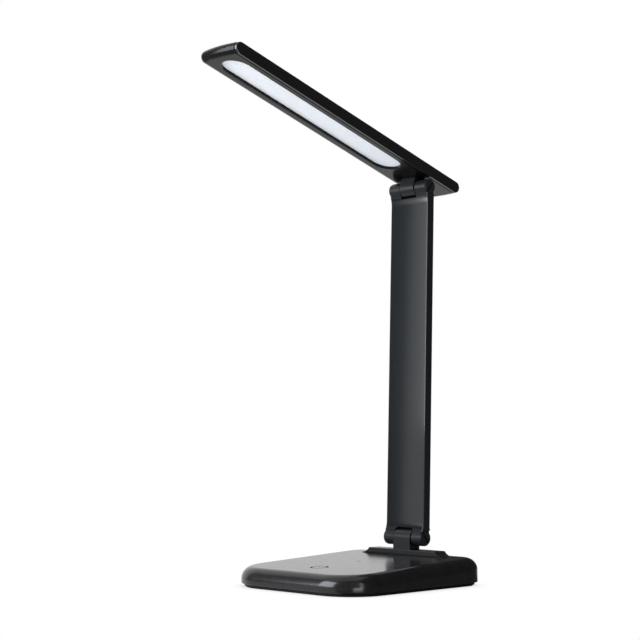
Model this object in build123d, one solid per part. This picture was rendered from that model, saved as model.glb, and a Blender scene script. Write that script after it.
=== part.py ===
from build123d import *
import math
import os

# Folding desk lamp with a touch control: a wedge-topped base, a flat arm and a flat lamp head,
# joined by two friction hinges. Millimetres, +Z up. The lamp's front faces -Y and +X is on the
# right of someone who faces its front. The origin is the middle of the base, on the desk.

# Base housing
base_width = 131.6
base_depth = 143.7
base_front_radius = 32.2
base_rear_radius = 18.0
base_edge_round = 9.0
base_height = 17.35  # of the sloped top, over the middle of the base
base_slope = 2.6  # degrees, the top rises to the rear
base_wall = 2.2
base_rim_height = 2.5  # the housing's lower rim, over the desk
base_rim_round = 0.8

# Bottom cover, foot pad and ballast
cover_thickness = 2.4
cover_lip_height = 2.0
cover_lip_wall = 1.2
pad_thickness = 0.8
pad_inset = 1.2  # from the cover's edge
boss_side_inset = 15.0  # from the housing's sides to the cover screws
boss_front_inset = 21.0
boss_rear_inset = 15.0
boss_radius = 3.5
boss_height = 1.2  # of the cover's own bosses
cover_screw_shank = 1.15
cover_screw_head = 2.8
cover_screw_head_height = 1.8
cover_screw_grip = 6.0  # how far it goes into the housing's boss
ballast_side_inset = 17.8  # from the housing's sides
ballast_front_inset = 21.85
ballast_board_gap = 2.95  # to the main board behind it
ballast_thickness = 3.0
ballast_corner = 4.0

# Battery, boards and leads in the base
battery_width = 60.0
battery_depth = 40.0
battery_thickness = 5.0
battery_board_gap = 16.95  # to the main board behind it
battery_round = 1.6
board_width = 62.0
board_depth = 46.0
board_thickness = 1.6
board_standoff = 2.8
board_post_radius = 2.5
board_hole_inset = 4.0
board_screw_shank = 0.85
board_screw_head = 1.9
board_screw_head_height = 1.0
plug_width = 6.0
plug_depth = 4.0
plug_height = 2.6
battery_plug_share = 0.38  # of the board's width, from its left edge
touch_plug_share = 0.68
controller_size = 7.0
controller_height = 1.2
charger_width = 5.0
charger_depth = 4.4
charger_height = 1.0
coil_size = 8.0
coil_height = 2.4
capacitor_radius = 2.0
capacitor_height = 2.3
lead_radius = 0.6
lead_pitch = 2.0
socket_width = 8.94
socket_height = 3.26
socket_length = 7.4
socket_wall = 0.35
socket_tongue = 0.7
socket_recess = 0.6  # the socket's mouth, behind the housing's rear face

# Touch mark and indicator in the base's top
touch_front_inset = 34.35  # from the housing's front edge
touch_ring_radius = 6.7
touch_ring_width = 1.3
touch_mark_depth = 0.8
touch_dot_radius = 0.65
touch_plate_radius = 6.5
touch_plate_thickness = 0.4
touch_board_width = 16.0
touch_board_thickness = 1.0
touch_board_margin = 2.0  # past the touch plate and the indicator light
touch_chip_size = 5.0
touch_chip_height = 0.9
touch_plug_height = 1.6
indicator_spacing = 40.6  # behind the touch mark's middle
indicator_width = 4.0
indicator_depth = 1.0
indicator_light_size = 1.6

# Hinge axes: the arm's length is from axis to axis
lower_axis_inset = 15.95  # from the base's rear face
lower_axis_rise = 12.6  # over the base's top
arm_length = 269.3
arm_lean = 1.6  # degrees backward
head_pitch = 17.2  # degrees, front up

# Hinge bracket on the base: a low ridge that carries the middle knuckle
ridge_half_width = 33.4
ridge_height = 3.85  # over the base's top, at the hinge axis
ridge_flare = 7.6  # sideways run of its hollow-curved ends
ridge_front = 6.6  # from the hinge axis
ridge_rear = 5.2
ridge_edge_round = 0.6
spigot_spacing = 48.0
spigot_radius = 4.0
seat_depth = 2.7  # pad under the housing's top that the clamp plate bears on
seat_margin = 4.0  # of the pad and the plate, around the spigots
clamp_thickness = 2.0
bracket_screw_shank = 1.7
bracket_screw_head = 3.2
bracket_screw_head_height = 1.9
bracket_screw_length = 8.0

# Knuckles: the middle one of each hinge is on the base or the head, the outer ones on the arm
knuckle_radius = 5.9
middle_radius = 6.4  # the middle knuckles stand a little proud
base_knuckle_inset = 10.6  # from the arm's sides to the middle knuckle
head_knuckle_inset = 12.1
knuckle_edge_round = 0.35
leg_rear = 5.0  # the middle knuckle's leg, behind the axis
front_blend = 18.0  # hollow curve from the arm's front face to its outer knuckles
rear_blend = 2.5
turning_room = 0.35  # between a middle knuckle and the arm's end around it
slit_inset = 11.35  # from the arm's sides to the slit over a middle knuckle
slit_end = 7.8  # from the hinge axis
slit_floor = 1.0  # behind the hinge axis
washer_thickness = 0.5
washer_gap = 0.05  # play at each face of a washer
washer_radius = 4.8
shaft_radius = 2.5
shaft_tip = 0.5  # past the nut
running_gap = 0.05  # between turning cylinders
fixed_gap = 0.03  # between fitted cylinders that do not turn
shaft_flange_radius = 3.2
shaft_flange_thickness = 1.2
bush_radius = 3.5
bush_bore = 2.1
bush_wall = 0.4  # past the cable passage, to the bush's inner end
bush_stop = 1.0  # between the bush and the shaft's flange
bush_reach = 3.4  # into the outer knuckle
nut_pocket_radius = 4.5
nut_size = 7.0  # across its flats
nut_thickness = 2.6
spring_radius = 4.2
spring_thickness = 0.5
spring_pitch = 0.7
spring_count = 3
pocket_floor = 2.9  # wall between the outer knuckle's inner face and its nut pocket
cable_chamber_radius = 4.2
cap_radius = 5.6
cap_thickness = 0.8
cap_plug = 0.9
cap_edge_round = 0.3
cap_slot_width = 1.3
cap_slot_depth = 0.6
cap_slot_angle = 37.4  # degrees from upright

# Arm
arm_width = 38.2
arm_front = 2.5  # front face, ahead of the hinge axes
arm_rear = 4.8
arm_wall = 1.5
arm_split = 1.9  # joint line of its two shells, behind the axes
arm_end_gap = 7.3  # from each axis to the shells' ends
lip_end = 4.8  # the front shell's lip reaches nearer to each axis, over the outer knuckles
lip_end_round = 0.25
arm_edge_round = 0.6
tongue_length = 21.0
arm_screw_inset = 9.1  # from the arm's sides
arm_screw_reach = 13.0  # from the shells' end
arm_boss_radius = 2.2
arm_screw_shank = 0.95
arm_screw_head = 2.1
arm_screw_head_height = 0.8
rib_thickness = 1.2
rib_count = 5
rib_margin = 8.0  # from the tongue's end to the first rib

# Cable that runs from the base through both hinges
cable_radius = 1.0
cable_bend = 2.2
cable_passage = 1.7  # radius of the passages for it
cable_inset = 4.1  # where it runs up the arm, from the arm's left side
cable_meet = 2.0  # where two lengths meet in a bush, from the middle knuckle's face
channel_floor = 0.6  # wall behind its channel in the tongue

# Lamp head
head_side_inset = 0.1  # from the arm's sides
head_reach = 212.9  # tip of its bowed front end, ahead of the upper axis
head_tail = 34.15
head_rise = 7.55  # of the shell's lower rim, over the upper axis
head_thickness = 8.65
head_side_round = 0.6
head_wall = 2.0
head_top_wall = 1.5
head_end_rim = 0.9  # flat rim between the round end and the cavity
head_corner = 2.0
cap_start = 207.3  # ahead of the upper axis, the panel's nose cap begins
lip_start = 200.0  # the panel's lip is one with its nose from here on
nose_step = 0.4  # the nose cap stands proud of the shell's end
panel_drop = 0.35  # the lower panel stands proud of the rim
panel_side_inset = 2.4
panel_end_reveal = 0.5  # between the round nose and the panel
panel_groove = 0.5  # width of the groove round the panel
panel_groove_depth = 1.0
panel_thickness = 1.6
panel_edge_round = 0.3
window_side_inset = 6.8  # from the head's sides
window_front_margin = 9.2  # from the head's tip
window_rear = 22.1  # ahead of the upper axis
window_recess = 2.35
window_seat = 1.0  # how far the diffuser's edge lies on its ledge
window_rim = 0.8  # wall around the diffuser's edge
diffuser_thickness = 1.2
reflector_thickness = 1.2
led_board_thickness = 1.0
led_board_side_gap = 0.7  # from the window's sides
led_board_margin = 1.0  # from the window's ends
led_length = 3.5
led_width = 2.8
led_thickness = 0.7
led_count = 18
led_row_spacing = 9.0
flange_side_inset = 5.0  # from the head's sides
flange_depth = 18.0
flange_thickness = 1.5
flange_lift = 1.6  # over the lower panel, for the screw heads
flange_screw_inset = 3.5  # from the flange's edges
flange_boss_radius = 2.4
flange_screw_shank = 0.8
flange_screw_head = 1.8
flange_screw_head_height = 1.1

# General clearances
fit_gap = 0.1
seam_gap = 0.2
thread_gap = 0.05
overrun = 1.0  # how far a cutting shape runs past what it cuts


def block(x0, x1, y0, y1, z0, z1):
    """A box between two corners."""
    return Pos((x0 + x1) / 2, (y0 + y1) / 2, (z0 + z1) / 2) * Box(x1 - x0, y1 - y0, z1 - z0)


def rod_x(radius, x0, x1):
    """A cylinder along the X axis."""
    return Pos((x0 + x1) / 2, 0, 0) * Rot(0, 90, 0) * Cylinder(radius, x1 - x0)


def soft_rod_x(radius, x0, x1, edge_round):
    """A cylinder along X with both rims rounded."""
    return fillet(rod_x(radius, x0, x1).edges().filter_by(GeomType.CIRCLE), edge_round)


def side_prism(outline, x0, x1):
    """A flat outline drawn in Y and Z, raised along X between two places."""
    return Pos(x0, 0, 0) * (Plane.YZ * extrude(outline, x1 - x0))


def rod_y(radius, y0, y1, x, z):
    """A cylinder along Y."""
    return Pos(x, (y0 + y1) / 2, z) * Rot(90, 0, 0) * Cylinder(radius, y1 - y0)


def rod_z(radius, z0, z1, x=0.0, y=0.0):
    """An upright cylinder."""
    return Pos(x, y, (z0 + z1) / 2) * Cylinder(radius, z1 - z0)


def ring_z(outer, inner, z0, z1):
    """An upright ring."""
    return rod_z(outer, z0, z1) - rod_z(inner, z0 - overrun, z1 + overrun)


def prism(outline, z0, z1):
    """A flat outline in the XY plane, raised between two heights."""
    return Pos(0, 0, z0) * extrude(outline, z1 - z0)


def group(pieces):
    """Several separate solids that share one node."""
    solids = []
    for piece in pieces:
        solids.extend(piece.solids())
    return Compound(solids)


def screw_up(length, shank, head, head_height):
    """A cross-head screw with its head just below z = 0 and its shank above."""
    wide = 1.1 * head
    narrow = 0.22 * head
    deep = 0.8 * head_height
    cross = Box(wide, narrow, deep) + Box(narrow, wide, deep)
    return rod_z(head, -head_height, 0) + rod_z(shank, 0, length) - Pos(0, 0, -head_height) * cross


def round_cable(path, radius):
    return sweep(Plane(origin=path @ 0, z_dir=path % 0) * Circle(radius), path=path)


# Places worked out from the sizes above
half_width = base_width / 2
half_depth = base_depth / 2
tall = 3 * base_depth
slope_rise = math.tan(math.radians(base_slope))


def top_height(y):
    """Height of the base's sloped top at y."""
    return base_height + slope_rise * y


lower_axis_y = half_depth - lower_axis_inset
ridge_foot = top_height(lower_axis_y)
ridge_top = ridge_foot + ridge_height
lower_axis_z = ridge_foot + lower_axis_rise
upper_axis_y = lower_axis_y + arm_length * math.sin(math.radians(arm_lean))
upper_axis_z = lower_axis_z + arm_length * math.cos(math.radians(arm_lean))
base_axis = Pos(0, lower_axis_y, lower_axis_z)
arm_frame = base_axis * Rot(-arm_lean, 0, 0)
head_frame = Pos(0, upper_axis_y, upper_axis_z) * Rot(-head_pitch, 0, 0)

cover_inset = base_wall + seam_gap
cover_top = pad_thickness + cover_thickness
boss_bottom = cover_top + boss_height
cover_boss_radius = cover_screw_head + fit_gap + cover_lip_wall
screw_floor = pad_thickness + cover_screw_head_height + fit_gap
cover_screw_length = boss_bottom - screw_floor + cover_screw_grip
cover_corners = [
    (side * (half_width - boss_side_inset), y)
    for side in (-1, 1) for y in (boss_front_inset - half_depth, half_depth - boss_rear_inset)
]
ballast_top = cover_top + ballast_thickness
ballast_half_width = half_width - ballast_side_inset
ballast_front = ballast_front_inset - half_depth
battery_middle_z = ballast_top + battery_thickness / 2
board_rear = half_depth - base_wall - socket_recess - fit_gap
board_front = board_rear - board_depth
ballast_rear = board_front - ballast_board_gap
battery_rear = board_front - battery_board_gap
board_bottom = cover_top + board_standoff
board_top = board_bottom + board_thickness
board_hole_x = board_width / 2 - board_hole_inset
board_hole_front = board_front + board_hole_inset
board_hole_rear = board_rear - board_hole_inset - socket_length / 2
board_corners = [
    (x, y) for x in (-board_hole_x, board_hole_x) for y in (board_hole_front, board_hole_rear)
]
battery_plug_x = (battery_plug_share - 0.5) * board_width
touch_plug_x = (touch_plug_share - 0.5) * board_width
socket_z = board_top + socket_height / 2
touch_forward = half_depth - touch_front_inset
indicator_back = indicator_spacing - touch_forward
touch_board_high = -base_wall - touch_plate_thickness
touch_board_low = touch_board_high - touch_board_thickness

seat_half_width = spigot_spacing / 2 + spigot_radius + seat_margin
seat_half_depth = spigot_radius + seat_margin
clamp_top = ridge_foot - base_wall - seat_depth
clamp_bottom = clamp_top - clamp_thickness
spigots = [(-spigot_spacing / 2, lower_axis_y), (spigot_spacing / 2, lower_axis_y)]

base_knuckle_width = arm_width - 2 * base_knuckle_inset
head_knuckle_width = arm_width - 2 * head_knuckle_inset
cable_side = arm_width / 2 - cable_inset
slit_half = arm_width / 2 - slit_inset
cable_x_base = cable_bend - base_knuckle_width / 2
cable_x_head = cable_bend - head_knuckle_width / 2
base_meet = -base_knuckle_width / 2 - cable_meet
head_meet = -head_knuckle_width / 2 - cable_meet
outer_end = arm_width / 2 - cap_thickness
tongue_front = arm_wall + fit_gap - arm_front
tongue_rear = arm_rear - arm_wall - fit_gap
tongue_half = arm_width / 2 - arm_wall - fit_gap
tongue_end = arm_end_gap + tongue_length
arm_screw_sink = arm_screw_head_height + fit_gap
arm_screw_z = arm_end_gap + arm_screw_reach
arm_screws_x = (arm_screw_inset - arm_width / 2, arm_width / 2 - arm_screw_inset)
arm_screws = [(x, z) for x in arm_screws_x for z in (arm_screw_z, arm_length - arm_screw_z)]

head_width = arm_width - 2 * head_side_inset
head_length = head_reach + head_tail
head_middle = (head_tail - head_reach) / 2
nose = head_thickness / 2
head_top = head_rise + head_thickness
head_ceiling = head_top - head_top_wall
cavity_end_inset = nose + head_end_rim
panel_low = head_rise - panel_drop
panel_high = panel_low + panel_thickness
diffuser_low = panel_low + window_recess
diffuser_high = diffuser_low + diffuser_thickness
window_grow = window_seat + fit_gap
window_front = head_reach - window_front_margin
window_half_width = head_width / 2 - window_side_inset
led_board_half_width = window_half_width - led_board_side_gap
led_board_low = head_ceiling - led_board_thickness
flange_low = panel_high + flange_lift
flange_high = flange_low + flange_thickness
flange_width = head_width - 2 * flange_side_inset
flange_screw_x = flange_width / 2 - flange_screw_inset
flange_screw_y = flange_depth / 2 - flange_screw_inset
flange_screws = [(x * flange_screw_x, y * flange_screw_y) for x in (-1, 1) for y in (-1, 1)]


# Base housing: outline, sloped top and a large soft round between top and sides
def base_outline(inset):
    face = Rectangle(base_width - 2 * inset, base_depth - 2 * inset)
    face = fillet(face.vertices().group_by(Axis.Y)[0], base_front_radius - inset)
    return fillet(face.vertices().group_by(Axis.Y)[-1], base_rear_radius - inset)


def under_slope(solid, drop):
    """Cuts off what lies over a plane drop below the base's top."""
    above = Pos(0, 0, base_height - drop) * Rot(base_slope, 0, 0) * block(-tall, tall, -tall, tall, 0, tall)
    return solid - above


def base_block(inset, bottom, drop, edge_round):
    body = under_slope(prism(base_outline(inset), bottom, tall), drop)
    return fillet(body.faces().sort_by(Axis.Z)[-1].edges(), edge_round)


def on_top(y):
    """The place on the sloped top at y, turned with the slope."""
    return Pos(0, y, top_height(y)) * Rot(base_slope, 0, 0)


def indicator_outline(grow):
    return SlotOverall(indicator_width + 2 * grow, indicator_depth + 2 * grow)


def make_base_shell():
    shell = base_block(0, base_rim_height, 0, base_edge_round)
    shell = fillet(shell.faces().sort_by(Axis.Z)[0].edges(), base_rim_round)
    shell = shell - base_block(base_wall, base_rim_height - overrun, base_wall, base_edge_round - base_wall)
    seat = block(
        -seat_half_width, seat_half_width,
        lower_axis_y - seat_half_depth, lower_axis_y + seat_half_depth, clamp_top, tall,
    )
    shell = shell + under_slope(seat, base_wall / 2)
    for x, y in cover_corners:
        shell = shell + under_slope(rod_z(boss_radius, boss_bottom, tall, x, y), base_wall / 2)
    for x, y in cover_corners:
        reach = screw_floor + cover_screw_length + fit_gap
        shell = shell - rod_z(cover_screw_shank + thread_gap, boss_bottom - overrun, reach, x, y)
    for x, y in spigots:
        shell = shell - rod_z(spigot_radius + fit_gap, clamp_top - overrun, tall, x, y)
    shell = shell - rod_z(cable_passage, clamp_top - overrun, tall, cable_x_base, lower_axis_y)
    groove_floor = -touch_mark_depth - thread_gap
    ring_outside = touch_ring_radius + thread_gap
    ring_inside = touch_ring_radius - touch_ring_width - thread_gap
    shell = shell - on_top(-touch_forward) * ring_z(ring_outside, ring_inside, groove_floor, overrun)
    shell = shell - on_top(-touch_forward) * rod_z(touch_dot_radius + thread_gap, groove_floor, overrun)
    shell = shell - on_top(indicator_back) * prism(
        indicator_outline(thread_gap), -base_wall - overrun, overrun)
    mouth = SlotOverall(socket_width + 2 * seam_gap, socket_height + 2 * seam_gap)
    return shell - Pos(0, half_depth, socket_z) * Rot(90, 0, 0) * extrude(mouth, 2 * base_wall, both=True)


# Bottom cover with a locating lip, screw wells and posts for the board
def make_bottom_cover():
    cover = prism(base_outline(cover_inset), pad_thickness, cover_top + cover_lip_height)
    cover = cover - prism(base_outline(cover_inset + cover_lip_wall), cover_top, tall)
    for x, y in cover_corners:
        cover = cover + rod_z(cover_boss_radius, cover_top, boss_bottom, x, y)
    for x, y in cover_corners:
        cover = cover - rod_z(cover_screw_shank + fit_gap, 0, tall, x, y)
        cover = cover - rod_z(cover_screw_head + fit_gap, 0, screw_floor, x, y)
    for x, y in board_corners:
        cover = cover + rod_z(board_post_radius, cover_top, board_bottom, x, y)
        cover = cover - rod_z(board_screw_shank + thread_gap, cover_top, board_bottom + overrun, x, y)
    return cover


def make_foot_pad():
    return prism(base_outline(cover_inset + pad_inset), 0, pad_thickness)


def make_cover_screws():
    screw = screw_up(cover_screw_length, cover_screw_shank, cover_screw_head, cover_screw_head_height)
    return group([Pos(x, y, screw_floor) * screw for x, y in cover_corners])


def make_ballast():
    outline = RectangleRounded(2 * ballast_half_width, ballast_rear - ballast_front, ballast_corner)
    plate = prism(Pos(0, (ballast_front + ballast_rear) / 2) * outline, cover_top, ballast_top)
    for x, y in cover_corners:
        plate = plate - rod_z(cover_boss_radius + fit_gap, 0, tall, x, y)
    return plate


def make_battery():
    pouch = block(
        -battery_width / 2, battery_width / 2, battery_rear - battery_depth, battery_rear,
        ballast_top, ballast_top + battery_thickness)
    return fillet(pouch.edges().filter_by(Axis.Y), battery_round)


# Main board with its parts, and the charging socket at the rear
def make_board():
    board = block(-board_width / 2, board_width / 2, board_front, board_rear, board_bottom, board_top)
    for x, y in board_corners:
        board = board - rod_z(board_screw_shank + fit_gap, 0, tall, x, y)
    return board


def on_board(along_x, along_y, piece):
    """Stands a piece on the board, at shares of the board's width and depth."""
    x = (along_x - 0.5) * board_width
    y = board_front + along_y * board_depth
    return Pos(x, y, board_top + piece.bounding_box().size.Z / 2) * piece


def board_plug(x):
    """A plug for leads, standing at the board's front edge."""
    return block(
        x - plug_width / 2, x + plug_width / 2,
        board_front + fit_gap, board_front + plug_depth, board_top, board_top + plug_height)


def make_board_parts():
    """Controller, charger, coil, two capacitors and the plugs for battery and touch leads."""
    return group([
        on_board(0.2, 0.35, Box(controller_size, controller_size, controller_height)),
        on_board(0.6, 0.4, Box(charger_width, charger_depth, charger_height)),
        on_board(0.2, 0.62, Box(coil_size, coil_size, coil_height)),
        on_board(0.42, 0.42, Cylinder(capacitor_radius, capacitor_height)),
        on_board(0.82, 0.42, Cylinder(capacitor_radius, capacitor_height)),
        board_plug(battery_plug_x),
        board_plug(touch_plug_x),
    ])


def make_board_screws():
    screw = Rot(180, 0, 0) * screw_up(
        board_standoff, board_screw_shank, board_screw_head, board_screw_head_height)
    return group([Pos(x, y, board_top) * screw for x, y in board_corners])


def make_socket():
    """The socket's drawn shell with its closed rear end and flat tongue."""
    inner_width = socket_width - 2 * socket_wall
    inner_height = socket_height - 2 * socket_wall
    shell = extrude(SlotOverall(socket_width, socket_height), socket_length)
    shell = shell - Pos(0, 0, socket_wall) * extrude(SlotOverall(inner_width, inner_height), socket_length)
    reach = socket_length - 2 * socket_wall
    tongue = Pos(0, 0, reach / 2) * Box(inner_width - 4 * socket_wall, socket_tongue, reach)
    return Pos(0, half_depth - socket_recess - socket_length, socket_z) * Rot(-90, 0, 0) * (shell + tongue)


def lead_pair(start, end):
    """Two wires side by side, which leave one plug and enter the next along Y."""
    wires = []
    for side in (-0.5, 0.5):
        shift = Vector(side * lead_pitch, 0, 0)
        path = Spline(start + shift, end + shift, tangents=[(0, 1, 0), (0, 1, 0)])
        wires.append(round_cable(path, lead_radius))
    return group(wires)


def make_battery_leads():
    start = Vector(battery_plug_x, battery_rear, battery_middle_z)
    return lead_pair(start, Vector(battery_plug_x, board_front + fit_gap, board_top + plug_height / 2))


# Touch mark: a ring and a dot let into the top, with the sensing plate and its board under them
def make_touch_ring():
    inside = touch_ring_radius - touch_ring_width
    return on_top(-touch_forward) * ring_z(touch_ring_radius, inside, -touch_mark_depth, 0)


def make_touch_dot():
    return on_top(-touch_forward) * rod_z(touch_dot_radius, -touch_mark_depth, 0)


def make_touch_plate():
    return on_top(-touch_forward) * rod_z(touch_plate_radius, touch_board_high, -base_wall)


def make_touch_board():
    front = touch_forward + touch_plate_radius + touch_board_margin
    rear = indicator_back + indicator_light_size / 2 + touch_board_margin
    half = touch_board_width / 2
    return on_top(0) * block(-half, half, -front, rear, touch_board_low, touch_board_high)


def make_touch_board_parts():
    """Indicator light right under its window; touch chip and lead plug on the other face."""
    light = block(
        -indicator_light_size, indicator_light_size, -indicator_light_size / 2, indicator_light_size / 2,
        touch_board_high, -base_wall - thread_gap)
    chip = block(
        -touch_board_width / 2, touch_chip_size - touch_board_width / 2, -touch_chip_size, 0,
        touch_board_low - touch_chip_height, touch_board_low)
    plug = block(
        0, plug_width, -plug_depth, 0, touch_board_low - touch_plug_height, touch_board_low)
    return on_top(indicator_back) * group([light, chip, plug])


def make_touch_leads():
    start = on_top(indicator_back) * Pos(plug_width / 2, fit_gap, touch_board_low - touch_plug_height / 2)
    return lead_pair(start.position, Vector(touch_plug_x, board_front + fit_gap, board_top + plug_height / 2))


def make_indicator_window():
    return on_top(indicator_back) * prism(indicator_outline(0), -base_wall, 0)


# Hinge bracket, clamped through the housing's top by a steel plate and two screws
def middle_knuckle(width, leg_low, leg_high):
    """A short cylinder with a leg that is flush with its front; the outer edges are softened."""
    half = width / 2
    leg = block(-half, half, -middle_radius, leg_rear, leg_low, leg_high)
    leg = fillet(leg.edges().filter_by(Axis.Z), knuckle_edge_round)
    return soft_rod_x(middle_radius, -half, half, knuckle_edge_round) + leg


def bush_start(width):
    """The bush's inner end, left of the hinge's middle."""
    return width / 2 - cable_bend - cable_passage - bush_wall


def bush_depth(width):
    """Blind end of the bush's seat, left of the hinge's middle."""
    return bush_start(width) - bush_stop - shaft_flange_thickness


def middle_knuckle_bores(width, cable_low, cable_high):
    half = width / 2
    inner = -bush_depth(width)
    shaft_bore = rod_x(shaft_radius + running_gap, inner - overrun, half + overrun)
    bush_seat = rod_x(bush_radius + fixed_gap, -half - overrun, inner)
    return shaft_bore + bush_seat + rod_z(cable_passage, cable_low, cable_high, cable_bend - half, 0)


def make_bracket():
    foot_half = ridge_half_width + ridge_flare
    low = ridge_foot - ridge_height
    radius = (ridge_flare ** 2 + ridge_height ** 2) / (2 * ridge_height)
    half_sweep = math.asin(ridge_flare / radius) / 2
    mid_x = foot_half - radius * math.sin(half_sweep)
    mid_z = ridge_foot + radius - radius * math.cos(half_sweep)
    outline = Polyline((-foot_half, ridge_foot), (-foot_half, low), (foot_half, low), (foot_half, ridge_foot))
    outline += ThreePointArc((foot_half, ridge_foot), (mid_x, mid_z), (ridge_half_width, ridge_top))
    outline += Line((ridge_half_width, ridge_top), (-ridge_half_width, ridge_top))
    outline += ThreePointArc((-ridge_half_width, ridge_top), (-mid_x, mid_z), (-foot_half, ridge_foot))
    ridge = extrude(make_face(outline), ridge_front + ridge_rear)
    ridge = Pos(0, lower_axis_y + ridge_rear, 0) * Rot(90, 0, 0) * ridge
    ridge = fillet(ridge.faces().sort_by(Axis.Z)[-1].edges().filter_by(Axis.X), ridge_edge_round)
    under = Pos(0, 0, base_height) * Rot(base_slope, 0, 0) * block(-tall, tall, -tall, tall, -tall, 0)
    ridge = ridge - under
    inside = ridge_foot + ridge_height / 2
    bracket = ridge + base_axis * middle_knuckle(base_knuckle_width, inside - lower_axis_z, 0)
    for x, y in spigots:
        bracket = bracket + rod_z(spigot_radius, clamp_top + fit_gap, inside, x, y)
    for x, y in spigots:
        reach = clamp_bottom + bracket_screw_length + fit_gap
        bracket = bracket - rod_z(bracket_screw_shank + thread_gap, 0, reach, x, y)
    return bracket - base_axis * middle_knuckle_bores(base_knuckle_width, -tall, 0)


def make_clamp_plate():
    half_plate = seat_half_depth - fit_gap
    plate = block(
        -seat_half_width, seat_half_width,
        lower_axis_y - half_plate, lower_axis_y + half_plate, clamp_bottom, clamp_top,
    )
    for x, y in spigots:
        plate = plate - rod_z(bracket_screw_shank + fit_gap, 0, tall, x, y)
    return plate - rod_z(cable_passage, 0, tall, cable_x_base, lower_axis_y)


def make_bracket_screws():
    screw = screw_up(bracket_screw_length, bracket_screw_shank, bracket_screw_head, bracket_screw_head_height)
    return group([Pos(x, y, clamp_bottom) * screw for x, y in spigots])


# Hinge hardware, about its own axis
def outer_start(width):
    """Where the arm's outer knuckle begins, from the hinge's middle."""
    return width / 2 + washer_thickness + 2 * washer_gap


def spring_start(width):
    return outer_start(width) + pocket_floor


def nut_start(width):
    return spring_start(width) + spring_count * spring_pitch + washer_gap


def make_shaft(width):
    inner = -bush_depth(width) - fixed_gap
    flange = rod_x(shaft_flange_radius, inner - shaft_flange_thickness, inner)
    return flange + rod_x(shaft_radius, inner, nut_start(width) + nut_thickness + shaft_tip)


def make_washers(width):
    near = width / 2 + washer_gap
    far = near + washer_thickness
    right = rod_x(washer_radius, near, far) - rod_x(shaft_radius + fit_gap, 0, far + overrun)
    left = rod_x(washer_radius, -far, -near) - rod_x(bush_radius + running_gap, -far - overrun, 0)
    return group([right, left])


def make_springs(width):
    discs = []
    for index in range(spring_count):
        start = spring_start(width) + washer_gap + index * spring_pitch
        disc = rod_x(spring_radius, start, start + spring_thickness)
        discs.append(disc - rod_x(shaft_radius + fit_gap, 0, start + spring_pitch + overrun))
    return group(discs)


def make_nut(width):
    start = nut_start(width)
    hexagon = RegularPolygon(nut_size / 2, 6, major_radius=False)
    nut = Pos(start, 0, 0) * Rot(0, 90, 0) * extrude(hexagon, nut_thickness)
    return nut - rod_x(shaft_radius + fixed_gap, 0, start + nut_thickness + overrun)


def make_bush(width):
    """A hollow pin that carries the cable through the hinge, slotted towards the leg below it."""
    start = -bush_start(width)
    end = -outer_start(width) - bush_reach
    pin = rod_x(bush_radius, end, start) - rod_x(bush_bore, end - overrun, start + overrun)
    middle = cable_bend - width / 2
    return pin - block(
        middle - cable_passage, start + overrun, -cable_passage, cable_passage, -bush_radius - overrun, 0)


def make_cap(plug_radius):
    disc = rod_x(cap_radius, outer_end, outer_end + cap_thickness)
    disc = fillet(disc.faces().sort_by(Axis.X)[-1].edges(), cap_edge_round)
    plug = rod_x(plug_radius - fit_gap, outer_end - cap_plug, outer_end + cap_thickness / 2)
    slot = Pos(outer_end + cap_thickness, 0, 0) * Rot(cap_slot_angle, 0, 0) * Box(
        2 * cap_slot_depth, cap_slot_width, 3 * cap_radius)
    return disc + plug - slot


def make_caps():
    return group([make_cap(nut_pocket_radius), mirror(make_cap(cable_chamber_radius), about=Plane.YZ)])


# Hollow curves between the arm's faces and the round of its outer knuckles, in Y and Z
def blend_rise(face, radius):
    """Where the curve leaves the arm's flat face, from the hinge axis."""
    return math.sqrt((knuckle_radius + radius) ** 2 - (face + radius) ** 2)


def blend_foot(face, radius):
    """Where the curve meets the round of the knuckle: distances across and along the arm."""
    share = knuckle_radius / (knuckle_radius + radius)
    return share * (face + radius), share * blend_rise(face, radius)


def blend_at(face, radius, z):
    """How far the curve is from the axis, across the arm, at a distance along the arm."""
    return face + radius - math.sqrt(radius ** 2 - (blend_rise(face, radius) - z) ** 2)


front_rise = blend_rise(arm_front, front_blend)
front_foot = blend_foot(arm_front, front_blend)
front_at_end = blend_at(arm_front, front_blend, arm_end_gap)
front_at_lip = blend_at(arm_front, front_blend, lip_end)
rear_rise = blend_rise(arm_rear, rear_blend)
rear_foot = blend_foot(arm_rear, rear_blend)


def web_outline():
    """The arm's end between the shells and the round of the outer knuckles."""
    front_middle = (front_foot[1] + arm_end_gap) / 2
    rear_middle = (rear_foot[1] + rear_rise) / 2
    outline = ThreePointArc(
        (-front_foot[0], front_foot[1]),
        (-blend_at(arm_front, front_blend, front_middle), front_middle),
        (-front_at_end, arm_end_gap))
    outline += Polyline((-front_at_end, arm_end_gap), (arm_rear, arm_end_gap), (arm_rear, rear_rise))
    outline += ThreePointArc(
        (arm_rear, rear_rise), (blend_at(arm_rear, rear_blend, rear_middle), rear_middle), rear_foot)
    outline += Line(rear_foot, (-front_foot[0], front_foot[1]))
    return make_face(outline)


def slit():
    """The gap left between a middle knuckle and the front of the arm's end."""
    return block(-slit_half, slit_half, -tall, slit_floor, knuckle_radius, slit_end)


def lip_room(width):
    """What is cut from the front shell's end, so that only its lip passes over the knuckles."""
    start = outer_start(width)
    room = rod_x(knuckle_radius + fit_gap, -arm_width, arm_width)
    room = room + block(-start, start, -tall, tall, 0, middle_radius + turning_room)
    return room + block(-arm_width, arm_width, arm_wall - arm_front, tall, 0, arm_end_gap) + slit()


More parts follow.
